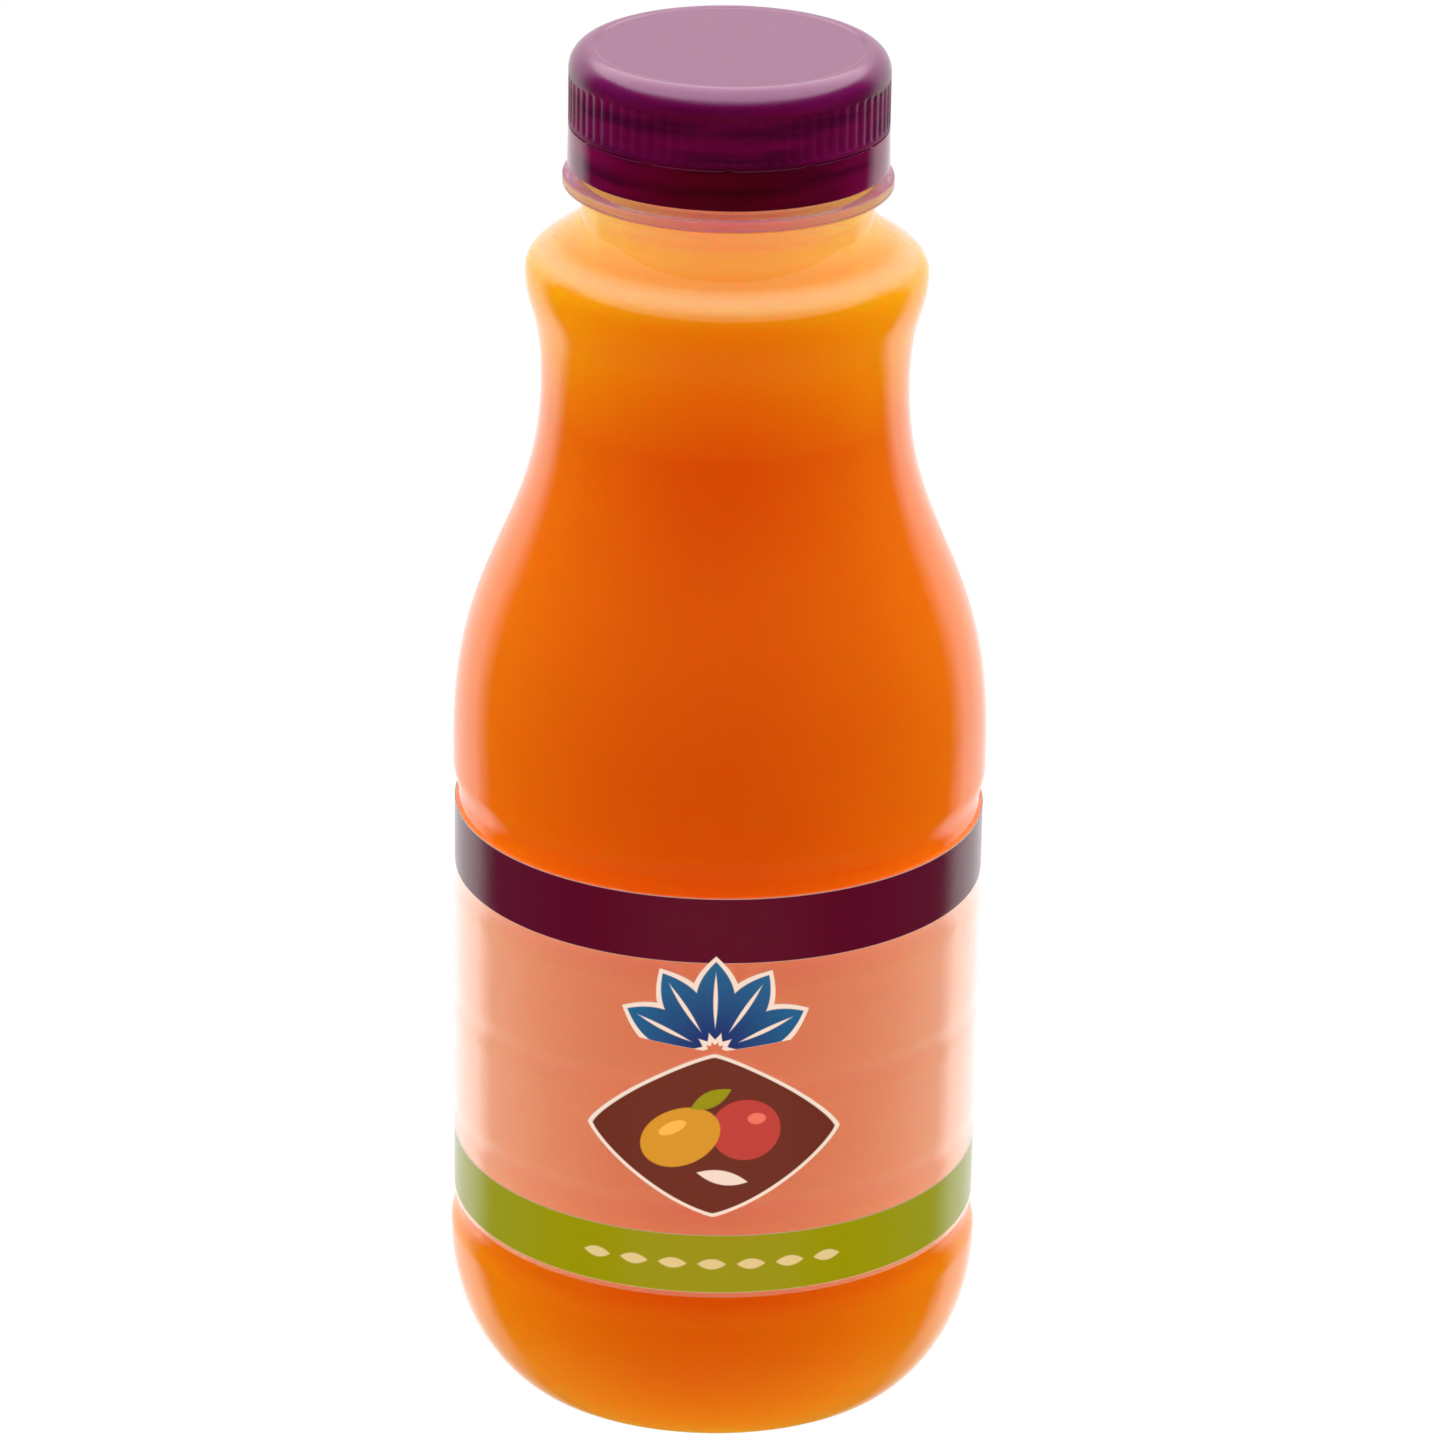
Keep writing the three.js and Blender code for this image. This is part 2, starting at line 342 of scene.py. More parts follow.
def revolve(outline, columns, reshape=None):
    """Turns an outline round the upright axis. A point is (radius cos angle, radius sin angle, height).
    A first or last point on the axis becomes one shared point, and an outline that ends where it starts is
    closed. reshape, if given, takes the grids of angle, radius and height, and gives back new grids of
    radius and height."""
    closed = np.allclose(outline[0], outline[-1])
    outline = outline[:-1] if closed else outline
    angle = np.linspace(0, 2 * math.pi, columns, endpoint=False)[None, :]
    radius = np.repeat(outline[:, :1], columns, axis=1)
    height = np.repeat(outline[:, 1:], columns, axis=1)
    if reshape:
        radius, height = reshape(angle, radius, height)
    points = np.stack([radius * np.cos(angle), radius * np.sin(angle), height], axis=-1)
    on_axis = outline[:, 0] == 0
    index = np.arange(points.shape[0] * columns).reshape(-1, columns)
    index[on_axis] = index[on_axis][:, :1]
    kept, number = np.unique(index, return_inverse=True)
    return points.reshape(-1, 3)[kept], grid_faces(number.reshape(index.shape), closed)


def piece(name, shape, material):
    """One smooth-shaded object in metres, which replaces the CAD node of its name and rides on the root."""
    points, faces = shape
    mesh = bpy.data.meshes.new(name + "_mesh")
    mesh.from_pydata((points * MM).tolist(), [], faces)
    mesh.shade_smooth()
    mesh.set_sharp_from_angle(angle=SHARP_ANGLE)
    mesh.materials.append(material)
    made = bpy.data.objects.new(name + "_piece", mesh)
    bpy.context.scene.collection.objects.link(made)
    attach(made, "root")
    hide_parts(name)
    return made


def seam_step(angle, radius, height):
    """The film's outside stands a step further out where its end laps over its start."""
    sag = LABEL_SAG * groove_share(height.ravel()).reshape(height.shape)
    outside = radius > LABEL_OUTER_RADIUS - LABEL_THICKNESS / 2 - sag
    away = np.abs(np.angle(np.exp(1j * (angle - SEAM_ANGLE)))) * LABEL_OUTER_RADIUS
    lap = np.clip((SEAM_WIDTH / 2 - away) / SEAM_SOFTNESS + 0.5, 0, 1)
    return radius - outside * SEAM_STEP * (1 - lap), height


def cut_ribs(angle, radius, height):
    """Narrow grooves down the skirt: the square of a sine round the cap, sharpened, faded at both ends."""
    outside = radius > CAP_RADIUS - CAP_WALL / 2
    fade = np.clip(np.minimum(height - RIB_BOTTOM, RIB_TOP - height) / RIB_END + 0.5, 0, 1)
    dip = np.sin(RIB_COUNT / 2 * angle) ** 2
    return radius - outside * RIB_DEPTH * fade * fade * (3 - 2 * fade) * dip ** RIB_SHARPNESS, height


def raise_bridges(angle, radius, height):
    """Small bridges from the band's upper edge into the cap, like rounded steps spaced evenly round it."""
    pitch = 2 * math.pi / BRIDGE_COUNT
    away = np.abs((angle + pitch / 2) % pitch - pitch / 2) * CAP_RADIUS
    bridge = np.clip((BRIDGE_WIDTH / 2 - away) / BRIDGE_SOFTNESS + 0.5, 0, 1)
    at_top = height > CAP_BOTTOM - BAND_SLIT - 2 * BRIDGE_SINK
    return radius, height + at_top * bridge * (BAND_SLIT + BRIDGE_SINK)


# Shader arithmetic

THIN_TINT = (0.99, 0.99, 0.985, 1)


class Value:
    """A number, colour or place inside a shader. Plain arithmetic on numbers adds Math nodes."""

    def __init__(self, nodes, socket):
        self.nodes = nodes
        self.socket = socket

    def __add__(self, other):
        return self.nodes.maths("ADD", self, other)

    def __radd__(self, other):
        return self.nodes.maths("ADD", other, self)

    def __sub__(self, other):
        return self.nodes.maths("SUBTRACT", self, other)

    def __rsub__(self, other):
        return self.nodes.maths("SUBTRACT", other, self)

    def __mul__(self, other):
        return self.nodes.maths("MULTIPLY", self, other)

    def __rmul__(self, other):
        return self.nodes.maths("MULTIPLY", other, self)

    def __truediv__(self, other):
        return self.nodes.maths("DIVIDE", self, other)

    def __rtruediv__(self, other):
        return self.nodes.maths("DIVIDE", other, self)

    def __pow__(self, other):
        return self.nodes.maths("POWER", self, other)

    def __rpow__(self, other):
        return self.nodes.maths("POWER", other, self)

    def __neg__(self):
        return self.nodes.maths("SUBTRACT", 0, self)

    def __abs__(self):
        return self.nodes.maths("ABSOLUTE", self)

    def clamped(self):
        """The number kept between 0 and 1."""
        return self.nodes.add("Clamp", inputs={"Value": self})

    def edge(self, softness):
        """1 where the number is well above 0 and 0 where it is well below, soft across the given width."""
        return (self / softness + 0.5).clamped()


class Nodes:
    """The node tree of one material or of the world."""

    def __init__(self, owner):
        owner.use_nodes = True
        self.owner = owner
        self.tree = owner.node_tree
        self.tree.nodes.clear()

    def add(self, kind, settings=None, inputs=None, output=0):
        """One node of a kind. Its settings are made first, then its inputs, as Values or plain values."""
        made = self.tree.nodes.new("ShaderNode" + kind)
        for name, value in (settings or {}).items():
            setattr(made, name, value)
        for name, value in (inputs or {}).items():
            if isinstance(value, Value):
                self.tree.links.new(value.socket, made.inputs[name])
            else:
                made.inputs[name].default_value = value
        return Value(self, made.outputs[output]) if made.outputs else None

    def maths(self, operation, *values):
        """A Math node's result."""
        return self.add("Math", {"operation": operation}, dict(enumerate(values)))

    def blend(self, share, first, second):
        """A colour between two others, the second where the share is 1."""
        inputs = {0: share, 6: first, 7: second}
        return self.add("Mix", {"data_type": "RGBA"}, inputs, output=2)

    def mix_shaders(self, share, first, second):
        """The first shader, giving way to the second where the share is 1."""
        return self.add("MixShader", inputs={0: share, 1: first, 2: second})

    def lets_light_in(self, surface):
        """The shader as it is seen or mirrored, but clear to the light that falls on what lies behind it."""
        clear = self.add("BsdfTransparent", inputs={"Color": THIN_TINT})
        lit = self.mix_shaders(self.add("LightPath", output=2), surface, clear)
        return self.mix_shaders(self.add("LightPath", output=1), lit, clear)

    def place(self):
        """The object's own coordinates, in metres, and their x, y and z in millimetres."""
        where = self.add("TexCoord", output=3)
        parts = [self.add("SeparateXYZ", inputs={"Vector": where}, output=axis) / MM for axis in range(3)]
        return where, parts

    def noise(self, where, size, detail=2.0):
        """Cloudy variation from 0 to 1, whose patches are about the given number of millimetres across."""
        return self.add("TexNoise", inputs={"Vector": where, "Scale": 1 / (size * MM), "Detail": detail})

    def bump(self, height, distance):
        """A surface direction bent by a height, where height 1 stands the given number of millimetres up."""
        return self.add("Bump", inputs={"Height": height, "Distance": distance * MM, "Strength": 1.0})

    def finish(self, surface):
        """Sends a shader to the surface, and gives back the material or world."""
        output = "OutputWorld" if isinstance(self.owner, bpy.types.World) else "OutputMaterial"
        self.add(output, inputs={"Surface": surface})
        return self.owner


# Materials

CAP_PURPLE = (0.075, 0.0003, 0.016, 1)
CAP_PURPLE_LIGHT = (0.16, 0.0006, 0.031, 1)
DRINK_ORANGE = (0.8, 0.15, 0.002, 1)
# Painted light in the drink: paler under the shoulder and in the heel
DRINK_PAINTED_LIGHT = (0.94, 0.33, 0.004, 1)
# Painted light: the drink in the neck is painted palest, where the cap shades it
DRINK_NECK_PAINTED_LIGHT = (0.97, 0.55, 0.03, 1)
# Peach neck haze: partly real cloudiness, partly painted drink light
NECK_HAZE_AND_PAINTED_LIGHT = (0.98, 0.56, 0.43, 1)
# Painted reflection: the ring's purple haze stands in for the cap seen in it
RING_PAINTED_CAP_REFLECTION = (0.4, 0.11, 0.36, 1)
# Painted highlight: the colour of the pale band round the shoulder
SHOULDER_HIGHLIGHT_COLOUR = (1, 0.85, 0.8, 1)
# Heights where the drink's painted light begins, and how far it reaches
UPPER_PAINTED_LIGHT_FROM = 136
UPPER_PAINTED_LIGHT_REACH = 12
LOWER_PAINTED_LIGHT_FROM = 30
DRINK_GLOW_REACH = 60
DRINK_GLOW_COLOUR = (1.0, 0.2, 0.05)
# Height and half width of the painted highlight round the shoulder
SHOULDER_HIGHLIGHT = 157.6
SHOULDER_HIGHLIGHT_REACH = 1.7
PARTING_WIDTH = 0.5
# Haze share in the neck: partly real cloudiness, partly painted drink light
NECK_CLOUD_AND_PAINTED_LIGHT = 0.34
# Haze share in the ring: partly real cloudiness, carrying the painted reflection of the cap
RING_CLOUD_AND_REFLECTION = 0.16
# Share of the painted shoulder highlight
SHOULDER_HIGHLIGHT_SHARE = 0.22
SKIRT_DULLNESS = 0.85
STREAK_STRETCH = (0.12, 0.12, 1)
GLASS_TINT = (0.995, 0.99, 0.985, 1)
WHITE = (1, 1, 1, 1)


def drink_material():
    """Milky orange drink with faint random patches in its tone. Its colour is painted paler under the
    shoulder and in the heel, and palest in the neck: painted light for light from above, from below and
    through the ring. Light goes a long way in, and red light goes furthest."""
    nodes = Nodes(bpy.data.materials.new("milk drink"))
    where, (_, _, z) = nodes.place()
    # Painted light: paler under the shoulder and in the heel, on top of the noise, which is the drink's own
    # tone
    upper = ((z - UPPER_PAINTED_LIGHT_FROM) / UPPER_PAINTED_LIGHT_REACH).clamped()
    lower = ((LOWER_PAINTED_LIGHT_FROM - z) / LOWER_PAINTED_LIGHT_FROM).clamped()
    pale = nodes.noise(where, 18) * 0.12 + upper * 0.8 + lower * 0.75
    base = nodes.blend(pale.clamped(), DRINK_ORANGE, DRINK_PAINTED_LIGHT)
    # Painted light: the drink in the neck is painted palest, standing in for light through the ring
    base = nodes.blend((z - NECK_ROOT).edge(4), base, DRINK_NECK_PAINTED_LIGHT)
    return nodes.finish(nodes.add("BsdfPrincipled", {"subsurface_method": "RANDOM_WALK"}, {
        "Base Color": base,
        "Roughness": nodes.noise(where, 6) * 0.1 + 0.5,
        "Specular IOR Level": 0.1,
        "Subsurface Weight": 1.0,
        "Subsurface Radius": DRINK_GLOW_COLOUR,
        "Subsurface Scale": DRINK_GLOW_REACH * MM,
    }))


def clear_plastic_material():
    """Blown clear plastic, a little wavy, with a faint upright parting line on each side. Up the neck it
    takes a peach haze that is partly real cloudiness and partly painted drink light; in the ring the haze is
    purple, a painted reflection of the cap; and a pale band round the shoulder is a painted highlight. Light
    that falls through it is let past whole, because the drink behind it would take too long to light
    otherwise."""
    nodes = Nodes(bpy.data.materials.new("clear bottle plastic"))
    where, (_, y, z) = nodes.place()
    parting = (PARTING_WIDTH / 2 - abs(y)).edge(0.3)
    waves = nodes.noise(where, 9) * 0.06 + parting * 0.08
    glass = nodes.add("BsdfPrincipled", inputs={
        "Base Color": GLASS_TINT,
        "Roughness": nodes.noise(where, 4) * 0.02 + 0.02,
        "IOR": 1.5,
        "Transmission Weight": 1.0,
        "Normal": nodes.bump(waves, 1.0),
    })
    # Haze colour: peach in the neck, partly painted drink light; purple in the ring, a painted reflection of
    # the cap
    haze_and_painted_light_colour = nodes.blend((z - RING_BOTTOM).edge(0.4), NECK_HAZE_AND_PAINTED_LIGHT, RING_PAINTED_CAP_REFLECTION)
    # Painted highlight: a pale band round the shoulder, laid in as extra haze
    line = (1 - ((z - SHOULDER_HIGHLIGHT) / SHOULDER_HIGHLIGHT_REACH) ** 2).clamped() ** 2
    haze_and_painted_light_colour = nodes.blend((line - 0.25).edge(0.5), haze_and_painted_light_colour, SHOULDER_HIGHLIGHT_COLOUR)
    haze = nodes.add("BsdfPrincipled", inputs={
        "Base Color": haze_and_painted_light_colour, "Roughness": 0.5, "Specular IOR Level": 0.0,
    })
    # The neck's haze is partly real cloudiness and partly painted drink light
    in_neck = (z - NECK_ROOT).edge(6) * NECK_CLOUD_AND_PAINTED_LIGHT
    # The ring's haze carries the painted reflection of the cap
    in_ring = (z - RING_BOTTOM + RING_SLANT).edge(0.4) * RING_CLOUD_AND_REFLECTION
    cloud_and_painted_light = in_neck + in_ring + line * SHOULDER_HIGHLIGHT_SHARE
    return nodes.finish(nodes.lets_light_in(nodes.mix_shaders(cloud_and_painted_light, glass, haze)))


def cap_material():
    """Moulded purple plastic: satin on the cap's top, dull on its ribbed skirt and glossy on the smooth band
    below, with fine pits, and slight streaks in its colour."""
    nodes = Nodes(bpy.data.materials.new("cap plastic"))
    where, (_, _, z) = nodes.place()
    satin = (z - CAP_BOTTOM).edge(0.2)
    skirt = satin * (RIB_TOP - z).edge(3)
    streaked = nodes.add("VectorMath", {"operation": "MULTIPLY"}, {0: where, 1: STREAK_STRETCH})
    mottle = ((nodes.noise(streaked, 2) - 0.5) * 3.5 * (RIB_TOP + 1 - z).edge(1) + 0.5).clamped()
    pits = nodes.noise(where, 0.4, detail=1.0) * satin
    colour = nodes.blend(mottle, CAP_PURPLE, CAP_PURPLE_LIGHT)
    bent = nodes.bump(pits, 0.012)
    glossy = nodes.add("BsdfPrincipled", inputs={
        "Base Color": colour,
        "Roughness": nodes.noise(where, 3) * 0.06 + satin * 0.13 + 0.07,
        "IOR": 1.6,
        "Normal": bent,
    })
    dull = nodes.add("BsdfPrincipled", inputs={
        "Base Color": colour,
        "Roughness": nodes.noise(where, 3) * 0.06 + 0.4,
        "Specular IOR Level": 0.12,
        "Normal": bent,
    })
    return nodes.finish(nodes.mix_shaders(skirt * SKIRT_DULLNESS, glossy, dull))


# Label print

BAND_PURPLE = (0.086, 0.003, 0.024, 1)
BAND_GREEN = (0.275, 0.325, 0.002, 1)
ROW_INK = (0.66, 0.66, 0.35, 1)
PALE_INK = (0.78, 0.82, 0.84, 1)
FIELD_BROWN = (0.13, 0.032, 0.022, 1)
BACKING_PALE = (0.7, 0.5, 0.5, 1)
BACKING_WIDTH = 5
FRUIT_YELLOW = (0.6, 0.34, 0.025, 1)
YELLOW_SHINE = (0.85, 0.55, 0.1, 1)
FRUIT_RED = (0.45, 0.055, 0.055, 1)
RED_SHINE = (0.75, 0.2, 0.15, 1)
LEAF_NAVY = (0.008, 0.02, 0.19, 1)
LEAF_TEAL = (0.008, 0.15, 0.4, 1)
UPPER_BAND_BOTTOM = 72.0
LOWER_BAND_TOP = 33.1
PRINT_MARGIN = 0.7
UPPER_MARGIN = 0.1
INK_EDGE = 0.14
FIELD_MIDDLE = 47.5
FIELD_SIZE = (16.4, 11.2)
FIELD_RIM = (0.7, 0.5)
DIAMOND_BOW = 1.25
ROW_PITCH = 5.2
ROW_REACH = 18
ROW_LEAF = (1.9, 0.75)
FAN_ROOT = 59.5
FAN_REACH = 12.5
FAN_LEAVES = 5
FAN_SPREAD = math.radians(33)
FAN_LEAF_MIDDLE = FAN_REACH * 0.58
FAN_LEAF_RIM = (FAN_REACH * 0.5, 3.3)
FAN_LEAF = (FAN_REACH * 0.44, 2.55)
FAN_LEAF_VEIN = (FAN_REACH * 0.3, 0.28)
FILM_TINT = (0.985, 0.985, 0.98, 1)
FILM_HAZE = (1, 0.79, 0.68, 1)
FILM_HAZE_SHARE = 0.08
FILM_EDGE_HAZE_SHARE = 0.42


class Print:
    """Layers of ink on the label. Each shape is a number of millimetres, above 0 inside the shape."""

    def __init__(self, nodes, around, height):
        self.nodes = nodes
        self.around = around
        self.height = height
        self.colour = WHITE
        self.cover = 0.0

    def lay(self, shape, colour):
        """Prints a colour over what is there, inside a shape."""
        mask = shape.edge(INK_EDGE)
        self.colour = self.nodes.blend(mask, self.colour, colour)
        self.cover = self.nodes.maths("MAXIMUM", self.cover, mask)

    def at(self, around, height, turn=0.0):
        """Distances across and up from a point, in axes turned by an angle."""
        across = self.around - around
        up = self.height - height
        if not turn:
            return across, up
        cosine, sine = math.cos(turn), math.sin(turn)
        return across * cosine + up * sine, up * cosine - across * sine

    def ellipse(self, across, up, width, height):
        """Inside an ellipse of two half sizes."""
        reach = ((across / width) ** 2 + (up / height) ** 2) ** 0.5
        return (1 - reach) * min(width, height)

    def diamond(self, across, up, width, height):
        """Inside a diamond of two half sizes with bowed sides."""
        inside = 1 - (abs(across) / width) ** DIAMOND_BOW - (abs(up) / height) ** DIAMOND_BOW
        return inside * (width * height / math.hypot(width, height))

    def leaf(self, along, across, half_length, half_width):
        """Inside a leaf with two pointed ends."""
        return (1 - (along / half_length) ** 2) * half_width - abs(across)

    def both(self, first, second):
        """Inside both shapes."""
        return self.nodes.maths("MINIMUM", first, second)


def draw_fan(ink):
    """A fan of leaves with pale outlines. The angle round its root is folded, so one leaf serves for all."""
    nodes = ink.nodes
    across, up = ink.at(0, FAN_ROOT)
    reach = (across ** 2 + up ** 2) ** 0.5
    angle = nodes.maths("ARCTAN2", across, up)
    inside_fan = (FAN_LEAVES * FAN_SPREAD / 2 - abs(angle)) * reach
    folded = nodes.maths("WRAP", angle, FAN_SPREAD / 2, -FAN_SPREAD / 2)
    along = reach * nodes.maths("COSINE", folded) - FAN_LEAF_MIDDLE
    aside = reach * nodes.maths("SINE", folded)
    rim = ink.leaf(along, aside, *FAN_LEAF_RIM)
    body = ink.leaf(along, aside, *FAN_LEAF)
    shade = (along / FAN_REACH + 0.5).clamped()
    ink.lay(ink.both(rim, inside_fan), PALE_INK)
    ink.lay(ink.both(body, inside_fan), nodes.blend(shade, LEAF_NAVY, LEAF_TEAL))
    ink.lay(ink.both(ink.leaf(along, aside, *FAN_LEAF_VEIN), inside_fan), PALE_INK)


def draw_emblem(ink):
    """A brown diamond field with a pale rim, two fruits and two small leaves, and a fan of leaves above."""
    across, up = ink.at(0, FIELD_MIDDLE)
    wide, high = FIELD_SIZE
    ink.lay(ink.diamond(across, up, wide + FIELD_RIM[0], high + FIELD_RIM[1]), PALE_INK)
    ink.lay(ink.diamond(across, up, wide, high), FIELD_BROWN)
    red = ink.at(4.2, FIELD_MIDDLE + 0.8)
    ink.lay(ink.ellipse(*red, 4.6, 4.3), FRUIT_RED)
    ink.lay(ink.ellipse(*ink.at(5.6, FIELD_MIDDLE + 2.4), 1.2, 0.8), RED_SHINE)
    yellow = ink.at(-4.4, FIELD_MIDDLE - 0.4, 0.5)
    ink.lay(ink.ellipse(*yellow, 5.6, 3.9), FRUIT_YELLOW)
    ink.lay(ink.ellipse(*ink.at(-5.4, FIELD_MIDDLE + 0.9, 0.5), 2.0, 0.8), YELLOW_SHINE)
    ink.lay(ink.leaf(*ink.at(-0.4, FIELD_MIDDLE + 5.2, 0.5), 3.0, 1.1), BAND_GREEN)
    ink.lay(ink.leaf(*ink.at(1.2, FIELD_MIDDLE - 6.0, -0.2), 3.4, 1.0), PALE_INK)
    draw_fan(ink)


def draw_bands(ink):
    """The purple band above, and the green one below with a row of small pale leaves."""
    nodes = ink.nodes
    height = ink.height
    ink.lay(ink.both(height - UPPER_BAND_BOTTOM, LABEL_TOP - UPPER_MARGIN - height), BAND_PURPLE)
    ink.lay(ink.both(LOWER_BAND_TOP - height, height - LABEL_BOTTOM - PRINT_MARGIN), BAND_GREEN)
    middle = (LOWER_BAND_TOP + LABEL_BOTTOM + PRINT_MARGIN) / 2
    across = nodes.maths("WRAP", ink.around, ROW_PITCH / 2, -ROW_PITCH / 2)
    row = ink.leaf(across, height - middle, *ROW_LEAF)
    ink.lay(ink.both(row, ROW_REACH - abs(ink.around)), ROW_INK)


def label_material():
    """Clear film with a slight haze and a glossy face, printed with opaque inks, and pale on the inside of
    its upper edge. The print is the same on the front and the back: the distance round the bottle is folded
    at half of its way round."""
    nodes = Nodes(bpy.data.materials.new("printed label film"))
    where, (x, y, z) = nodes.place()
    half_round = math.pi * LABEL_OUTER_RADIUS
    turned = nodes.maths("ARCTAN2", x, -y) * LABEL_OUTER_RADIUS
    around = nodes.maths("WRAP", turned, half_round / 2, -half_round / 2)
    ink = Print(nodes, around, z)
    draw_bands(ink)
    draw_emblem(ink)
    ripple = nodes.bump(nodes.noise(where, 7), 0.05)
    clear = nodes.add("BsdfTransparent", inputs={"Color": FILM_TINT})
    haze = nodes.add("BsdfPrincipled", inputs={
        "Base Color": FILM_HAZE, "Roughness": 0.6, "Specular IOR Level": 0.0,
    })
    gloss = nodes.add("BsdfPrincipled", inputs={
        "Base Color": WHITE, "Metallic": 1.0, "Roughness": 0.08, "Normal": ripple,
    })
    slant = nodes.add("LayerWeight", inputs={"Blend": 0.5}, output=1)
    hazy = nodes.noise(where, 14) * 0.02 + slant ** 2 * FILM_EDGE_HAZE_SHARE + FILM_HAZE_SHARE
    film = nodes.mix_shaders(hazy, clear, haze)
    film = nodes.lets_light_in(nodes.mix_shaders(slant ** 5 * 0.96 + 0.04, film, gloss))
    depth = LABEL_OUTER_RADIUS - LABEL_THICKNESS / 2 - (x ** 2 + y ** 2) ** 0.5
    backing = depth.edge(0.02) * (z - LABEL_TOP + BACKING_WIDTH).edge(1)
    printed = nodes.add("BsdfPrincipled", inputs={
        "Base Color": nodes.blend(backing, ink.colour, BACKING_PALE),
        "Roughness": nodes.noise(where, 3) * 0.06 + 0.16,
        "IOR": 1.5,
        "Normal": ripple,
    })
    return nodes.finish(nodes.mix_shaders(ink.cover, film, printed))


# Object

CLEAR_PLASTIC = clear_plastic_material()
CAP_PLASTIC = cap_material()

bottle = piece("bottle", revolve(shell_outline(), TURNED_COLUMNS), CLEAR_PLASTIC)
drink = piece("drink", revolve(drink_outline(), TURNED_COLUMNS), drink_material())
label = piece("label", revolve(label_outline(), LABEL_COLUMNS, seam_step), label_material())
cap = piece("cap", revolve(cap_outline(), CAP_COLUMNS, cut_ribs), CAP_PLASTIC)
band = piece("tamper_band", revolve(band_outline(), BAND_COLUMNS, raise_bridges), CAP_PLASTIC)


# Light, floor and camera

BACK_HALF_ANGLE = math.radians(57)
BACKDROP_SOFTNESS = math.radians(14)
BACKDROP_LIGHT = 1.32
BACKDROP_FROM = math.radians(-42)
BACKDROP_FOOT_SOFTNESS = 0.35
OVERHEAD_FROM = math.radians(38)
SKY_LIGHT = 1.3
SKY_SOFTNESS = 0.15
TABLE_FROM = math.radians(-42)
TABLE_LIGHT = 0.08
TABLE_SOFTNESS = 0.3
FRONT_LIGHT = 0.02
LAMP_SPREAD = math.radians(70)
GLOSS_SPREAD = math.radians(100)
LAMP_WHITE = (1, 1, 1)
LAMP_SIDE = (0.72, 1.32, 1)
LAMP_PURPLE = (1, 0.5, 1.8)
LAMP_BASE = (0.8, 1.8, 0.03)
LAMP_PINK = (1, 0.85, 1.4)
LAMP_WARM = (1, 0.22, 0.02)
LAMP_COOL = (0.53, 0.3, 2)
LAMP_FRONT = (1.4, 0.95, 0.7)
LAMP_NECK = (1, 0.85, 0.4)
CAMERA_TARGET = (0, 0, 91.6)
CAMERA_DISTANCE = 950.6
CAMERA_ELEVATION = math.radians(22.13)
CAMERA_ROLL = math.radians(0.89)
CAMERA_LENS = 180
CAMERA_SENSOR = 36
CAMERA_NEAR = 50
FLOOR_HALF = 4


def light_tent():
    """White backdrop behind the bottle, a bright sky overhead, a dim table below and a dark room in front. To
    the camera itself everything is plain white."""
    nodes = Nodes(bpy.data.worlds.new("light tent"))
    direction = nodes.add("TexCoord", output=0)
    x, y, z = [nodes.add("SeparateXYZ", inputs={"Vector": direction}, output=axis) for axis in range(3)]
    pitch = nodes.maths("ARCSINE", z)
    aside = abs(nodes.maths("ARCTAN2", x, y))
    behind = (BACK_HALF_ANGLE - aside).edge(BACKDROP_SOFTNESS)
    backdrop = behind * (pitch - BACKDROP_FROM).edge(BACKDROP_FOOT_SOFTNESS) * BACKDROP_LIGHT
    overhead = (pitch - OVERHEAD_FROM).edge(SKY_SOFTNESS) * SKY_LIGHT
    table = (TABLE_FROM - pitch).edge(TABLE_SOFTNESS) * TABLE_LIGHT
    brightness = nodes.maths("MAXIMUM", nodes.maths("MAXIMUM", backdrop, overhead), table + FRONT_LIGHT)
    tent = nodes.add("Background", inputs={"Strength": brightness})
    plain = nodes.add("Background", inputs={"Color": WHITE, "Strength": 1.0})
    return nodes.finish(nodes.mix_shaders(nodes.add("LightPath", output=0), tent, plain))


def white_floor():
    """A large plain white floor that only the camera sees."""
    nodes = Nodes(bpy.data.materials.new("white floor"))
    material = nodes.finish(nodes.add("Emission", inputs={"Color": WHITE, "Strength": 1.0}))
    material.cycles.emission_sampling = "NONE"
    mesh = bpy.data.meshes.new("floor_mesh")
    corners = [(x * FLOOR_HALF, y * FLOOR_HALF, 0) for x, y in ((-1, -1), (1, -1), (1, 1), (-1, 1))]
    mesh.from_pydata(corners, [], [(0, 1, 2, 3)])
    mesh.materials.append(material)
    floor = bpy.data.objects.new("floor", mesh)
    bpy.context.scene.collection.objects.link(floor)
    floor.visible_diffuse = False
    floor.visible_glossy = False
    floor.visible_transmission = False
    floor.visible_shadow = False


def soft_lamp(name, around, pitch, strength, colour, *lit, spread=LAMP_SPREAD, mirrored=False):
    """A wide soft lamp in a direction round and above the bottle, in degrees, where 0 round is the front and
    90 the right. It lights only the given pieces, and only they cast shadows in its light. A mirrored lamp is
    seen in their gloss and nowhere else, and any other lamp is not seen in it."""
    light = bpy.data.lights.new(name, "SUN")
    light.energy = strength
    light.color = colour
    light.angle = spread
    lamp = bpy.data.objects.new(name, light)
    around, pitch = math.radians(around), math.radians(pitch)
    level = math.cos(pitch)
    towards = Vector((math.sin(around) * level, -math.cos(around) * level, math.sin(pitch)))
    lamp.matrix_world = towards.to_track_quat("Z", "Y").to_matrix().to_4x4()
    lamp.visible_diffuse = not mirrored
    lamp.visible_glossy = mirrored
    lamp.visible_transmission = False
    pieces = bpy.data.collections.new(name + "_pieces")
    for one in lit:
        pieces.objects.link(one)
    lamp.light_linking.receiver_collection = pieces
    lamp.light_linking.blocker_collection = pieces
    bpy.context.scene.collection.objects.link(lamp)


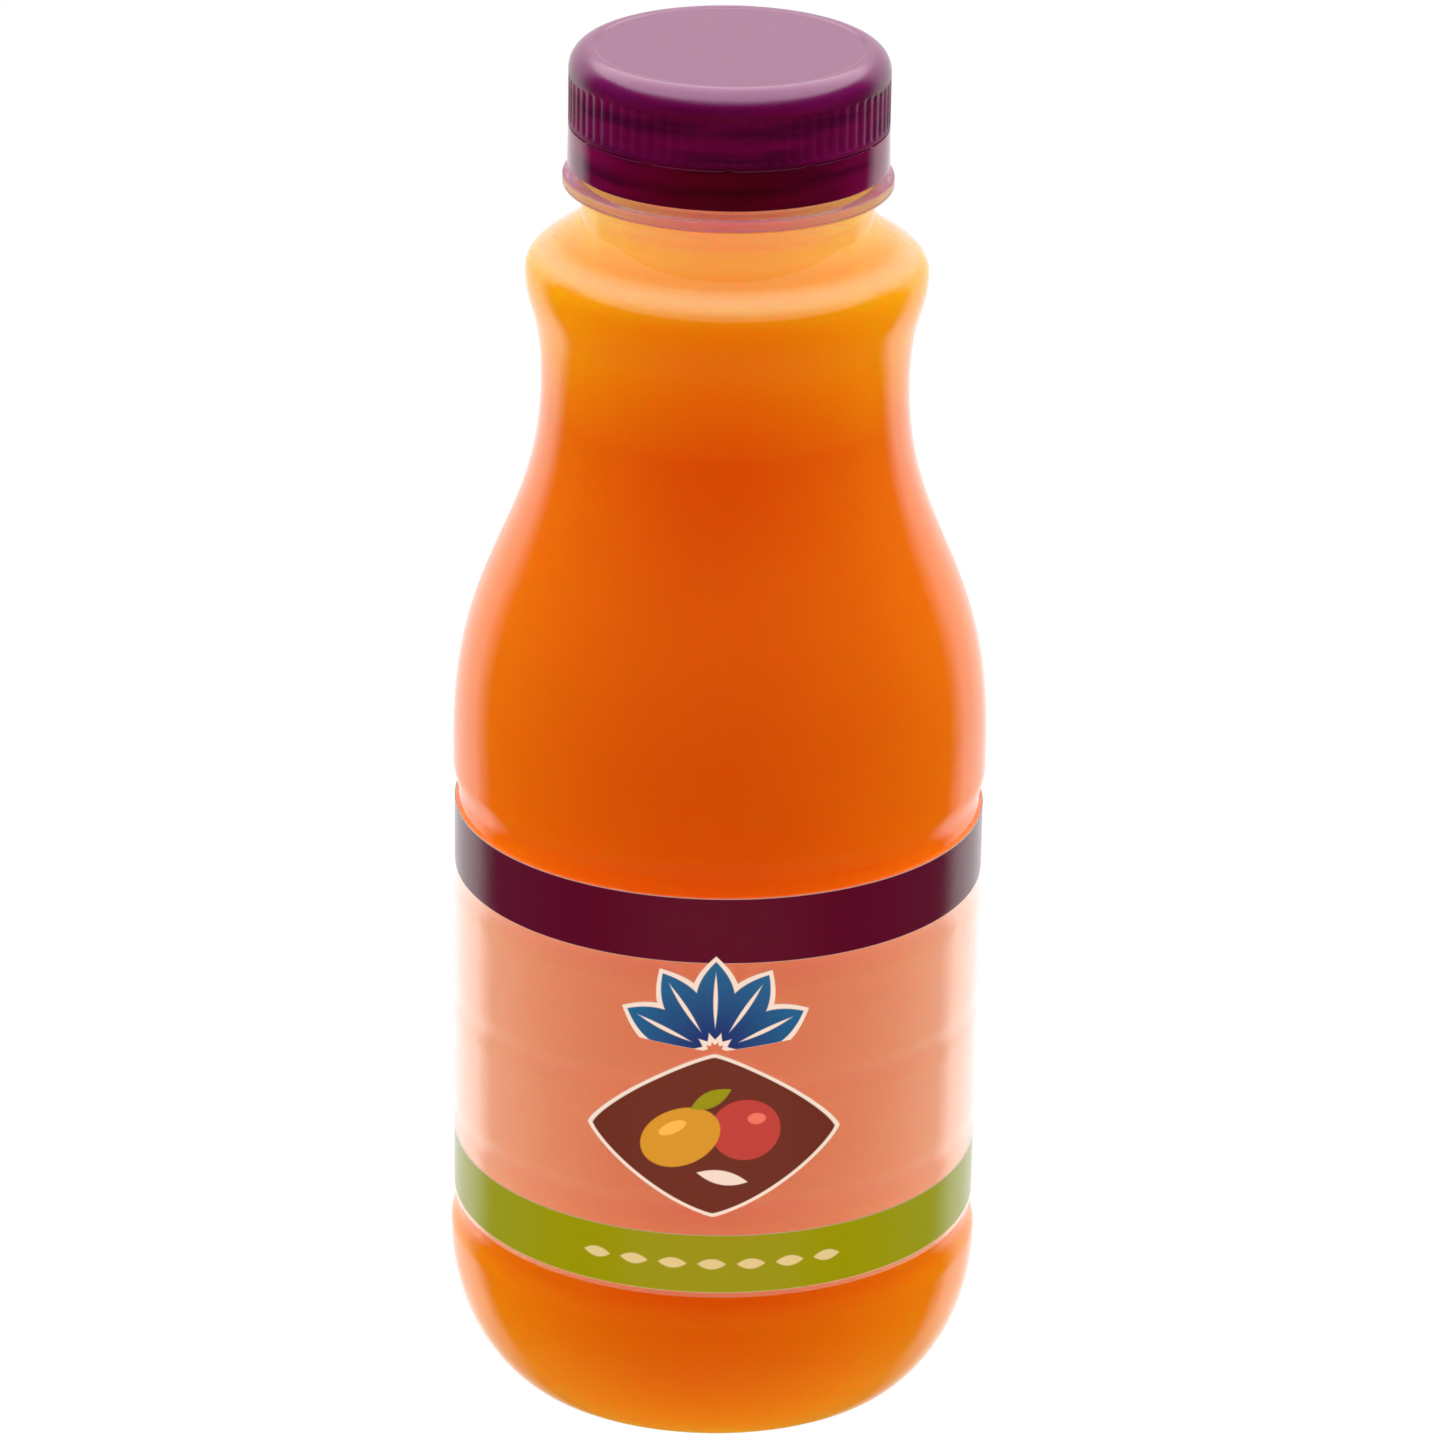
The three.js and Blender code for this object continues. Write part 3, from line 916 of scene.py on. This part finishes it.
def place_camera():
    """A long lens in front and above, turned a little about its own line of sight."""
    back = Vector((0, -math.cos(CAMERA_ELEVATION), math.sin(CAMERA_ELEVATION)))
    up = Vector((0, math.sin(CAMERA_ELEVATION), math.cos(CAMERA_ELEVATION)))
    right = Vector((1, 0, 0))
    cosine, sine = math.cos(CAMERA_ROLL), math.sin(CAMERA_ROLL)
    axes = Matrix((right * cosine + up * sine, up * cosine - right * sine, back)).transposed()
    camera = bpy.data.objects.new("camera", bpy.data.cameras.new("camera"))
    camera.data.lens = CAMERA_LENS
    camera.data.sensor_width = CAMERA_SENSOR
    camera.data.clip_start = CAMERA_NEAR * MM
    stand = (Vector(CAMERA_TARGET) + back * CAMERA_DISTANCE) * MM
    camera.matrix_world = Matrix.Translation(stand) @ axes.to_4x4()
    bpy.context.scene.collection.objects.link(camera)
    bpy.context.scene.camera = camera


scene = bpy.context.scene
scene.world = light_tent()
scene.view_settings.view_transform = "Standard"
scene.cycles.transparent_max_bounces = 24
white_floor()

# Lamps: degrees round and above, strength, colour and the pieces in their light
for side in (-1, 1):
    soft_lamp("side_lamp", side * 112, 0, 2.65, LAMP_SIDE, drink)
    soft_lamp("label_lamp", side * 112, 0, 2.3, LAMP_WHITE, label)
    soft_lamp("neck_side_lamp", side * 112, 0, 1.2, LAMP_PINK, bottle)
    soft_lamp("band_lamp", side * 125, 0, 6, LAMP_PURPLE, band)
    soft_lamp("cap_side_lamp", side * 100, 0, 1.4, LAMP_PURPLE, cap)
soft_lamp("low_lamp", 0, -50, 1.3, LAMP_WARM, drink, cap, band)
soft_lamp("front_lamp", 0, -30, 2.7, LAMP_FRONT, label)
soft_lamp("base_lamp", 0, -85, 1.75, LAMP_BASE, drink)
soft_lamp("neck_lamp", 0, 15, 3.4, LAMP_NECK, bottle)
soft_lamp("shoulder_lamp", 0, 88, 2.0, LAMP_WHITE, drink)
soft_lamp("top_lamp", 0, 90, 8, LAMP_COOL, cap)
soft_lamp("cap_gloss_lamp", 180, 77, 4.2, LAMP_WHITE, cap, spread=GLOSS_SPREAD, mirrored=True)
place_camera()
